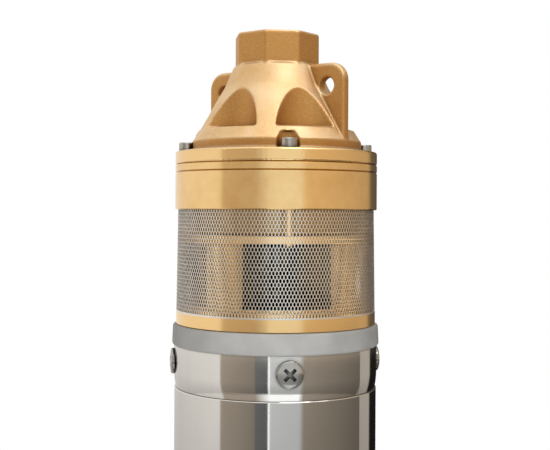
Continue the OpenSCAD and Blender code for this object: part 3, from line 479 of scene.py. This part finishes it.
def satin_grey():
    """Satin grey collar, finely turned and bead-blasted."""
    mat, tree, shader = principled("satin_grey", {"Metallic": 0.1, "Specular IOR Level": 0.25})
    lines = lathe_lines(tree, GREY_LINES)
    blast = noise(tree, object_coords(tree), GREY_BLAST)
    stain = noise(tree, object_coords(tree), GREY_STAIN, *BLOTCHES)
    colour = mix_colour(tree, remap(tree, stain, *MOTTLE_SPAN, 0.0, 1.0), GREY_LIGHT, GREY_DARK)
    blasted = math_node(tree, "MULTIPLY", blast, BLAST_SHARE)
    height = math_node(tree, "ADD", blasted, math_node(tree, "MULTIPLY", lines, LINES_SHARE))
    plug(tree, shader, Base_Color=colour, Roughness=spread(tree, blast, *GREY_ROUGH),
         Normal=bump(tree, height, GREY_RELIEF))
    return mat


def matte(name, light, dark, rough, grain, depth, metallic=0.0):
    """A dull material with a grain: rubber, ceramic, carbon, varnished wire, cast aluminium."""
    mat, tree, shader = principled(name, {"Metallic": metallic})
    fine = noise(tree, object_coords(tree), grain, detail=4.0)
    colour = mix_colour(tree, spread(tree, fine, 0.0, 1.0), light, dark)
    plug(tree, shader, Base_Color=colour, Roughness=spread(tree, fine, *rough),
         Normal=bump(tree, fine, depth))
    return mat


# Stacked sheets: colours, size and noise limits of their seams, and their relief and roughness
LAMINATION_DARK = srgb(92, 95, 100)
LAMINATION_LIGHT = srgb(132, 134, 138)
LAMINATION_LINES = 0.5 * MM
LAMINATION_SPAN = (0.4, 0.6)
LAMINATION_RELIEF = 0.02 * MM
LAMINATION_ROUGH = (0.4, 0.6)


def laminated():
    """Edges of stacked sheets: fine dark seams round the axis."""
    mat, tree, shader = principled("lamination", {"Metallic": 0.8})
    seams = lathe_lines(tree, LAMINATION_LINES)
    sheets = remap(tree, seams, *LAMINATION_SPAN, 0.0, 1.0)
    colour = mix_colour(tree, sheets, LAMINATION_DARK, LAMINATION_LIGHT)
    plug(tree, shader, Base_Color=colour, Roughness=spread(tree, seams, *LAMINATION_ROUGH),
         Normal=bump(tree, seams, LAMINATION_RELIEF))
    return mat


CAST_BRASS = cast_brass()
TURNED_BRASS = turned_brass()
SHELL_STEEL = polished_steel()
SCREW_STEEL = bright_steel("screw_steel", srgb(176, 173, 167), (0.08, 0.14), recess=(2.4 * MM, 0.97))
SHEET_STEEL = bright_steel("sheet_steel", srgb(236, 229, 220), (0.28, 0.38), 0.25, (1.6 * MM, 0.28), True)
BEARING_STEEL = bright_steel("bearing_steel", srgb(190, 191, 194), (0.12, 0.2))
GREY = satin_grey()
RUBBER = matte("rubber_black", srgb(30, 30, 31), srgb(42, 42, 43), (0.55, 0.75), 0.8 * MM, 0.02 * MM)
CERAMIC = matte("ceramic_white", srgb(238, 234, 224), srgb(228, 222, 210), (0.22, 0.34), 1.5 * MM, 0.003 * MM)
CARBON = matte("carbon_black", srgb(40, 40, 42), srgb(56, 56, 58), (0.3, 0.45), 0.5 * MM, 0.006 * MM)
COPPER = matte("copper_wire", srgb(196, 118, 62), srgb(158, 88, 44), (0.25, 0.45), 0.9 * MM, 0.15 * MM, 1.0)
LAMINATION = laminated()
CAST_ALUMINIUM = matte("cast_aluminium", srgb(196, 198, 200), srgb(176, 178, 181), (0.35, 0.55), 0.9 * MM,
                       0.03 * MM, 1.0)

SLOT_MATERIALS = {
    "cast_brass": CAST_BRASS, "turned_brass": TURNED_BRASS, "polished_steel": SHELL_STEEL,
    "sheet_steel": SHEET_STEEL, "screw_steel": SCREW_STEEL, "grey_casting": GREY,
    "bearing_steel": BEARING_STEEL, "rubber_black": RUBBER, "ceramic_white": CERAMIC,
    "carbon_black": CARBON, "copper_wire": COPPER, "lamination": LAMINATION, "cast_aluminium": CAST_ALUMINIUM,
}
for part in frame["record"]["subparts"]:
    set_material(nodes[part["node"]], SLOT_MATERIALS[part["material_slot"]])


# Strainer: the real fine perforation

MESH_COLS, MESH_ROWS = 191, 28
# Plain edge below the holes, and how far they go on under the pump body's skirt
MESH_FOOT = 0.5 * MM
MESH_UNDER_SKIRT = 0.6 * MM
# Share of a cell's width and of its height that the hole takes
HOLE_SHARE = (0.74, 0.89)
SHEET = 0.5 * MM
STRAINER_FOOT_R = 45.3 * MM
STRAINER_TOP_R = 44.6 * MM
# Plain lap of the sheet at the back, where no light comes through: its middle in degrees,
# and how far it reaches to each side in half columns
SEAM_ANGLE = 127.5
SEAM_HALF_COLS = 24
# Corners of an upright hexagon, in half columns and in thirds of a row
HEXAGON = [(1, -1), (1, 1), (0, 2), (-1, 1), (-1, -1), (0, -2)]


def fine_strainer():
    """The perforated sleeve: hexagonal cells with holes between a plain foot and a plain head."""
    low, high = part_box("strainer")
    rows_low = low.z + MESH_FOOT
    rows_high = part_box("pump_body")[0].z + MESH_UNDER_SKIRT
    third = (rows_high - rows_low) / (3 * MESH_ROWS + 1)
    top_level = 3 * MESH_ROWS + 1
    seam = round(SEAM_ANGLE / 180 * MESH_COLS)
    verts, faces, index = [], [], {}

    def point(u, z, side, key):
        """A point at half column u and height z on the outer (0) or inner (1) face."""
        if key not in index:
            a = math.pi * u / MESH_COLS
            t = (z - low.z) / (high.z - low.z)
            r = STRAINER_FOOT_R + (STRAINER_TOP_R - STRAINER_FOOT_R) * t - side * SHEET
            index[key] = len(verts)
            verts.append((r * math.cos(a), r * math.sin(a), z))
        return index[key]

    def corner(u, level, side):
        """A corner of the cells at half column u and a level in thirds of a row, -1 at the very foot."""
        u %= 2 * MESH_COLS
        z = {-1: low.z, top_level + 1: high.z}.get(level, rows_low + level * third)
        return point(u, z, side, (u, level, side))

    def add_face(ring, side):
        """A face that looks out of the sheet on either side."""
        faces.append(ring if side == 0 else ring[::-1])

    def cell(row, col):
        """One hexagon of the sheet, with its hole."""
        mid_u, mid = 2 * col + row % 2, 3 * row + 2
        holes = []
        for side in (0, 1):
            outer = [corner(mid_u + du, mid + dv, side) for du, dv in HEXAGON]
            if abs(mid_u - seam) < SEAM_HALF_COLS:
                add_face(outer, side)
                continue
            hole = [point(mid_u + du * HOLE_SHARE[0], rows_low + (mid + dv * HOLE_SHARE[1]) * third, side,
                          (row, col, k, side)) for k, (du, dv) in enumerate(HEXAGON)]
            for k in range(len(HEXAGON)):
                n = (k + 1) % len(HEXAGON)
                add_face([outer[k], outer[n], hole[n], hole[k]], side)
            holes.append(hole)
        if holes:
            for k in range(len(HEXAGON)):
                n = (k + 1) % len(HEXAGON)
                faces.append([holes[0][k], holes[0][n], holes[1][n], holes[1][k]])

    for row in range(MESH_ROWS):
        for col in range(MESH_COLS):
            cell(row, col)
    last_parity = (MESH_ROWS - 1) % 2
    for u in range(2 * MESH_COLS):
        foot = [(v, v % 2) for v in (u, u + 1)]
        head = [(v, top_level - (v % 2 != last_parity)) for v in (u, u + 1)]
        for side in (0, 1):
            add_face([corner(u, -1, side), corner(u + 1, -1, side), corner(*foot[1], side),
                      corner(*foot[0], side)], side)
            add_face([corner(*head[0], side), corner(*head[1], side), corner(u + 1, top_level + 1, side),
                      corner(u, top_level + 1, side)], side)
        for level, turn in ((-1, 1), (top_level + 1, -1)):
            rim = [corner(u, level, 0), corner(u, level, 1), corner(u + 1, level, 1), corner(u + 1, level, 0)]
            faces.append(rim[::turn])
    piece = mesh_object("strainer_sleeve", verts, faces, smooth=False)
    set_material(piece, SHEET_STEEL)
    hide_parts("strainer")
    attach(piece, "housing")


fine_strainer()


# Suction lantern: its side windows reach further to the front than on the solid

WINDOW_FOOT = 3.7 * MM
# Keeps the cuts off the windows' own edges
WINDOW_INSET = 0.05 * MM
# Camera-relative azimuths between which each side window is lengthened
WINDOW_REACH = [(-58, -45), (56, 73)]
# Radii of the cuts through the lantern's wall
CUT_R = (30 * MM, 43.5 * MM)
CUT_STEPS = 8
SHARP_ANGLE = math.radians(25)


def window_cutter(name, start, end):
    """A block between two azimuths, from inside the lantern's wall to outside it."""
    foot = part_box("strainer")[0].z
    verts, faces = [], []
    for i in range(CUT_STEPS + 1):
        d = direction(start + (end - start) * i / CUT_STEPS)
        for r in CUT_R:
            for z in (foot + WINDOW_FOOT + WINDOW_INSET, foot + WINDOW_TOP - WINDOW_INSET):
                verts.append((d.x * r, d.y * r, z))
        if i:
            a, b = 4 * i - 4, 4 * i
            faces += [[a, b, b + 1, a + 1], [a + 2, a + 3, b + 3, b + 2], [a, a + 2, b + 2, b],
                      [a + 1, b + 1, b + 3, a + 3]]
    last = 4 * CUT_STEPS
    faces += [[0, 1, 3, 2], [last, last + 2, last + 3, last + 1]]
    obj = mesh_object(name, verts, faces, smooth=False)
    form = bmesh.new()
    form.from_mesh(obj.data)
    bmesh.ops.recalc_face_normals(form, faces=form.faces)
    form.to_mesh(obj.data)
    form.free()
    return obj


def wide_lantern():
    """The lantern with its side windows lengthened, and clean normals after the cuts."""
    piece = copy_of("suction_lantern", "lantern_casting")
    cutters = [window_cutter(f"window_cutter_{i}", *reach) for i, reach in enumerate(WINDOW_REACH)]
    for cutter in cutters:
        combine(piece, "DIFFERENCE", cutter)
    apply_modifiers(piece)
    old_normals = piece.data.attributes.get("custom_normal")
    if old_normals:
        piece.data.attributes.remove(old_normals)
    piece.data.shade_smooth()
    piece.data.set_sharp_from_angle(angle=SHARP_ANGLE)
    for cutter in cutters:
        bpy.data.objects.remove(cutter)
    part = next(p for p in frame["record"]["subparts"] if p["node"] == "suction_lantern")
    set_material(piece, SLOT_MATERIALS[part["material_slot"]])
    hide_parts("suction_lantern")
    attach(piece, "housing")


wide_lantern()


# Discharge head: the casting with soft edges, and the thread in its outlet

HEAD_VOXEL = 0.5 * MM
HEAD_SMOOTH_FACTOR = 0.5
HEAD_SMOOTH_STEPS = 4
OUTLET = next(m for m in frame["record"]["mounts"] if m["name"] == "discharge_outlet")
THREAD_TOP = OUTLET["pos_m"][2]
THREAD_LEN = OUTLET["dims"]["length_mm"] * MM
THREAD_R = OUTLET["dims"]["r_mm"] * MM
THREAD_PITCH = 2.309 * MM
THREAD_DEPTH = 1.45 * MM
THREAD_STEPS = 96
THREAD_ROWS_PER_PITCH = 14
LEAD_IN = 1.6 * MM
# Steepness of the thread's flanks, over 1 so that crest and root are flat
FLANK = 1.25
LINER_WALL = 0.4 * MM
LINER_R = THREAD_R + THREAD_DEPTH + LINER_WALL
# How far the liner reaches into the casting, and how far it stays below the outlet's face
LINER_OVERLAP = 0.1 * MM
LINER_DROP = 0.3 * MM
OUTLET_H = 14.7 * MM
CONE_TOP = THREAD_TOP - OUTLET_H
# Ring that evens the cone's top under the octagon's corners: its foot, and its inner and outer radius
# at the foot and at the top
RING_FOOT = CONE_TOP - 10 * MM
RING_FOOT_R = (18 * MM, 23.95 * MM)
RING_TOP_R = (17.5 * MM, 19.7 * MM)
TOP_RING = [(RING_FOOT_R[0], RING_FOOT), (RING_FOOT_R[1], RING_FOOT), (RING_TOP_R[1], CONE_TOP),
            (RING_TOP_R[0], CONE_TOP)]


def bore_cutter():
    """A cylinder that opens the outlet for its thread."""
    mesh = bpy.data.meshes.new("bore_cutter")
    form = bmesh.new()
    bmesh.ops.create_cone(form, cap_ends=True, segments=THREAD_STEPS, radius1=LINER_R - LINER_OVERLAP,
                          radius2=LINER_R - LINER_OVERLAP, depth=2 * THREAD_LEN,
                          matrix=Matrix.Translation((0, 0, THREAD_TOP)))
    form.to_mesh(mesh)
    form.free()
    return link_new("bore_cutter", mesh)


def lathe_ring(name, profile):
    """A closed ring turned from a profile of (radius, height)."""
    verts, faces = [], []
    count = len(profile)
    for i in range(THREAD_STEPS):
        a = 2 * math.pi * i / THREAD_STEPS
        verts += [(r * math.cos(a), r * math.sin(a), z) for r, z in profile]
        here, there = i * count, (i + 1) % THREAD_STEPS * count
        for k in range(count):
            n = (k + 1) % count
            faces.append([here + k, there + k, there + n, here + n])
    return mesh_object(name, verts, faces, smooth=False)


def soft_head():
    """The head's casting with an even cone top, an opened outlet and soft edges."""
    piece = copy_of("discharge_head", "head_casting")
    tools = {"UNION": lathe_ring("top_ring", TOP_RING), "DIFFERENCE": bore_cutter()}
    for operation, tool in tools.items():
        combine(piece, operation, tool)
    remesh = piece.modifiers.new("remesh", "REMESH")
    remesh.mode = "VOXEL"
    remesh.voxel_size = HEAD_VOXEL
    soften = piece.modifiers.new("soften", "SMOOTH")
    soften.factor = HEAD_SMOOTH_FACTOR
    soften.iterations = HEAD_SMOOTH_STEPS
    apply_modifiers(piece)
    for tool in tools.values():
        bpy.data.objects.remove(tool)
    piece.data.shade_smooth()
    set_material(piece, CAST_BRASS)
    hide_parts("discharge_head")
    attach(piece, "housing")


def outlet_thread():
    """Pipe thread as a liner whose inner face follows a helix."""
    rows = round(THREAD_LEN / THREAD_PITCH * THREAD_ROWS_PER_PITCH)
    low = THREAD_TOP - THREAD_LEN
    verts, faces = [], []

    def inner_r(i, j):
        """Radius of the thread's face at step i and row j."""
        z = THREAD_LEN * j / rows
        phase = (z / THREAD_PITCH - i / THREAD_STEPS) % 1.0
        crest = min(1.0, max(0.0, FLANK * abs(2 * phase - 1) - (FLANK - 1) / 2))
        lead = max(0.0, 1 - (THREAD_LEN - z) / LEAD_IN)
        return THREAD_R + THREAD_DEPTH * max(crest, lead)

    for j in range(rows + 1):
        for i in range(THREAD_STEPS):
            a = 2 * math.pi * i / THREAD_STEPS
            r = inner_r(i, j)
            verts.append((r * math.cos(a), r * math.sin(a), low + THREAD_LEN * j / rows))
    rim = len(verts)
    for z in (low, THREAD_TOP - LINER_DROP):
        for i in range(THREAD_STEPS):
            a = 2 * math.pi * i / THREAD_STEPS
            verts.append((LINER_R * math.cos(a), LINER_R * math.sin(a), z))
    for i in range(THREAD_STEPS):
        n = (i + 1) % THREAD_STEPS
        for j in range(rows):
            a, b = j * THREAD_STEPS, (j + 1) * THREAD_STEPS
            faces.append([a + i, b + i, b + n, a + n])
        top = rows * THREAD_STEPS
        upper = rim + THREAD_STEPS
        faces.append([rim + i, i, n, rim + n])
        faces.append([top + i, upper + i, upper + n, top + n])
        faces.append([upper + i, rim + i, rim + n, upper + n])
    piece = mesh_object("outlet_thread", verts, faces)
    set_material(piece, TURNED_BRASS)
    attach(piece, "housing")


soft_head()
outlet_thread()


# Studio

# Light tent: its radius, where it starts on the floor, how far above the floor, and its step in degrees
TENT_R = 0.7
TENT_FLOOR_R = 0.05
TENT_FLOOR_Z = 0.003
TENT_STEP = 4
# Heights where the tent's part for the motor ends, where that for the head starts, and its top
MOTOR_TENT_TOP, HEAD_TENT_FOOT, TENT_TOP = 0.2, 0.235, 0.95
# Gains from the foot to the top of both parts
MOTOR_FADE = (0.72, 1.05)
HEAD_FADE = (1.1, 1.0)
# Tints of the studio cards
COOL_CARD = (0.98, 1.02, 1.04)
SOFT_CARD = (1.0, 0.98, 0.95)
CREAM_CARD = (1.0, 0.92, 0.82)
WARM_CARD = (1.0, 0.87, 0.72)
AMBER_CARD = (1.0, 0.83, 0.63)
# The steel gives back less than it gets
STEEL_GAIN = 1.28


def card(start, end, tint, head=None, motor=None, floor=None):
    """A card between two camera-relative azimuths, with its brightness at both edges as the head,
    the motor and the floor get it, or None where the card doesn't reach."""
    return {"edges": (start, end), "tint": tint, "head": head, "motor": motor, "floor": floor}


# From behind on the left round to behind on the right: softbox, wall, flag, strip light, front card,
# upper wall, lower wall, edge card and flag
CARDS = [
    card(-172, -62, SOFT_CARD, head=(0.85, 0.9), motor=(0.5, 0.65), floor=(0.55, 0.6)),
    card(-60, -22, WARM_CARD, head=(0.6, 0.55), motor=(0.3, 0.2), floor=(0.34, 0.3)),
    card(-21, -7.7, COOL_CARD, motor=(0.12, 0.1)),
    card(-7.4, -5.7, COOL_CARD, motor=(1.0, 1.0)),
    card(-5.4, 26, COOL_CARD, head=(0.9, 0.9), motor=(0.5, 0.45), floor=(1.0, 1.0)),
    card(33, 124, AMBER_CARD, head=(0.75, 0.5)),
    card(31, 104, WARM_CARD, motor=(0.24, 0.12), floor=(0.28, 0.14)),
    card(107, 128, CREAM_CARD, motor=(0.35, 0.35), floor=(0.35, 0.3)),
    card(131.5, 165, WARM_CARD, head=(0.14, 0.08), motor=(0.01, 0.01), floor=(0.01, 0.01)),
]
# Rings of the tent from the floor up, as (radius, height, what the cards light there, gain)
TENT_RINGS = [
    (TENT_FLOOR_R, TENT_FLOOR_Z, "floor", STEEL_GAIN), (TENT_R, TENT_FLOOR_Z, "floor", STEEL_GAIN),
    (TENT_R, TENT_FLOOR_Z, "motor", MOTOR_FADE[0] * STEEL_GAIN),
    (TENT_R, MOTOR_TENT_TOP, "motor", MOTOR_FADE[1] * STEEL_GAIN),
    (TENT_R, HEAD_TENT_FOOT, "head", HEAD_FADE[0]), (TENT_R, TENT_TOP, "head", HEAD_FADE[1]),
]


def card_edges(zone):
    """(azimuth, colour) at both edges of each card that reaches a zone, closed round the back."""
    edges = [(azimuth, [level * c for c in board["tint"]])
             for board in CARDS if board[zone] for azimuth, level in zip(board["edges"], board[zone])]
    azimuth, colour = edges[0]
    return edges + [(azimuth + 360, colour)]


def tone_at(edges, azimuth):
    """Colour at an azimuth, evened out between the cards' edges."""
    for (start, first), (end, last) in zip(edges, edges[1:]):
        if start <= azimuth <= end:
            t = (azimuth - start) / (end - start)
            return [a + (b - a) * t for a, b in zip(first, last)]
    raise ValueError(f"no tone at {azimuth}")


def studio_tent():
    """A ring of soft-edged studio cards round the object, seen only in mirrors."""
    zones = {zone: card_edges(zone) for zone in ("head", "motor", "floor")}
    back = CARDS[0]["edges"][0]
    azimuths = set(range(back, back + 361, TENT_STEP))
    azimuths.update(azimuth for edges in zones.values() for azimuth, _ in edges)
    verts, tones, faces = [], [], []
    for i, azimuth in enumerate(sorted(azimuths)):
        d = direction(azimuth)
        for k, (r, z, zone, gain) in enumerate(TENT_RINGS):
            verts.append((d.x * r, d.y * r, z))
            tones.append([c * gain for c in tone_at(zones[zone], azimuth)] + [1.0])
            if i and k:
                here = len(verts) - 1
                before = here - len(TENT_RINGS)
                faces.append([before - 1, here - 1, here, before])
    obj = mesh_object("tent", verts, faces)
    tone_layer = obj.data.color_attributes.new("tone", "FLOAT_COLOR", "POINT")
    for slot, tone in zip(tone_layer.data, tones):
        slot.color = tone
    mat, tree = empty_material("tent")
    colour = add(tree, "ShaderNodeVertexColor", {"layer_name": "tone"}).outputs["Color"]
    glow = add(tree, "ShaderNodeEmission", None, {"Color": colour, "Strength": 1.0})
    out = add(tree, "ShaderNodeOutputMaterial")
    tree.links.new(glow.outputs[0], out.inputs[0])
    obj.visible_camera = False
    obj.visible_diffuse = False
    obj.visible_shadow = False
    set_material(obj, mat)


studio_tent()


FLOOR_R = 8.0
FLOOR_COLOUR = srgb(246, 246, 245)
# Distances between which the floor turns plain white
FLOOR_FADE = (0.35, 0.95)
# The world's light on the object, which is less than what is seen of it
WORLD_LIGHT = 0.3
# Heights that the lamps aim at, beside the floor
HEAD_AIM = 0.38
COLLAR_AIM = 0.28


def white_for_view(tree):
    """1 for rays from the camera, in mirrors and through glass, else 0."""
    path = add(tree, "ShaderNodeLightPath")
    seen = math_node(tree, "ADD", path.outputs["Is Camera Ray"], path.outputs["Is Glossy Ray"], True)
    return math_node(tree, "ADD", seen, path.outputs["Is Transmission Ray"], True)


def studio_world():
    """White to look at, with less light on the object."""
    world = bpy.data.worlds.new("studio")
    bpy.context.scene.world = world
    world.use_nodes = True
    tree = world.node_tree
    background = tree.nodes["Background"]
    background.inputs[0].default_value = (1, 1, 1, 1)
    strength = remap(tree, white_for_view(tree), 0.0, 1.0, WORLD_LIGHT, 1.0)
    tree.links.new(strength, background.inputs[1])


def studio_floor():
    """Pale floor with the object's shadow near it, plain white further away."""
    floor = mesh_object("floor", [(-FLOOR_R, -FLOOR_R, 0), (FLOOR_R, -FLOOR_R, 0), (FLOOR_R, FLOOR_R, 0),
                                  (-FLOOR_R, FLOOR_R, 0)], [[0, 1, 2, 3]])
    mat, tree = empty_material("floor")
    reach = add(tree, "ShaderNodeVectorMath", {"operation": "LENGTH"}, {0: object_coords(tree)}).outputs[1]
    far = math_node(tree, "MULTIPLY", remap(tree, reach, *FLOOR_FADE, 0.0, 1.0), white_for_view(tree))
    near = add(tree, "ShaderNodeBsdfDiffuse", None, {"Color": FLOOR_COLOUR})
    glow = add(tree, "ShaderNodeEmission", None, {"Color": (1, 1, 1, 1), "Strength": 1.0})
    mixed = add(tree, "ShaderNodeMixShader", None, {0: far, 1: near.outputs[0], 2: glow.outputs[0]})
    out = add(tree, "ShaderNodeOutputMaterial")
    tree.links.new(mixed.outputs[0], out.inputs[0])
    set_material(floor, mat)


def area_light(name, azimuth, height, distance, size, power, target_z=HEAD_AIM, glossy=True):
    """A soft lamp at a camera-relative azimuth, in metres and watts, aimed at the pump's axis."""
    data = bpy.data.lights.new(name, "AREA")
    data.energy = power
    data.shape = "RECTANGLE"
    data.size, data.size_y = size
    obj = link_new(name, data)
    place = direction(azimuth) * distance + Vector((0, 0, height))
    aim = (Vector((0, 0, target_z)) - place).to_track_quat("-Z", "Y")
    obj.matrix_world = Matrix.Translation(place) @ aim.to_matrix().to_4x4()
    obj.visible_camera = False
    obj.visible_glossy = glossy


studio_world()
studio_floor()
area_light("key_front", 30, 1.25, 0.85, (0.6, 0.5), 3.4)
area_light("fill_right", 60, 1.0, 1.1, (0.6, 0.7), 2.0)
area_light("fill_left", -60, 1.0, 1.1, (0.6, 0.7), 0.8)
area_light("top", 0, 1.5, 0.25, (0.8, 0.8), 1.6)
area_light("collar_front", -4, 0.29, 0.3, (0.06, 0.06), 0.55, COLLAR_AIM, glossy=False)
area_light("collar_back", 180, 0.29, 0.6, (0.2, 0.2), 1.6, COLLAR_AIM, glossy=False)
area_light("floor_wash", 0, 1.8, 0.02, (0.6, 0.6), 7.0, 0.0, glossy=False)


def studio_camera():
    """The photo's viewpoint, with the axis and the horizon at their pixels."""
    data = bpy.data.cameras.new("camera")
    data.sensor_fit = "HORIZONTAL"
    data.sensor_width = SENSOR
    data.lens = FOCAL_PX / IMAGE_W * SENSOR
    data.shift_x = (IMAGE_W / 2 - AXIS_PX) / IMAGE_W
    data.shift_y = (HORIZON_PX - IMAGE_H / 2) / IMAGE_W
    data.clip_start = CLIP_START
    obj = link_new("camera", data)
    place = direction(0) * VIEW_DISTANCE + Vector((0, 0, VIEW_HEIGHT))
    look = (-direction(0)).to_track_quat("-Z", "Y")
    roll = Matrix.Rotation(math.radians(CAMERA_ROLL), 4, "Z")
    obj.matrix_world = Matrix.Translation(place) @ look.to_matrix().to_4x4() @ roll
    bpy.context.scene.camera = obj


studio_camera()
bpy.context.scene.view_settings.view_transform = "Standard"
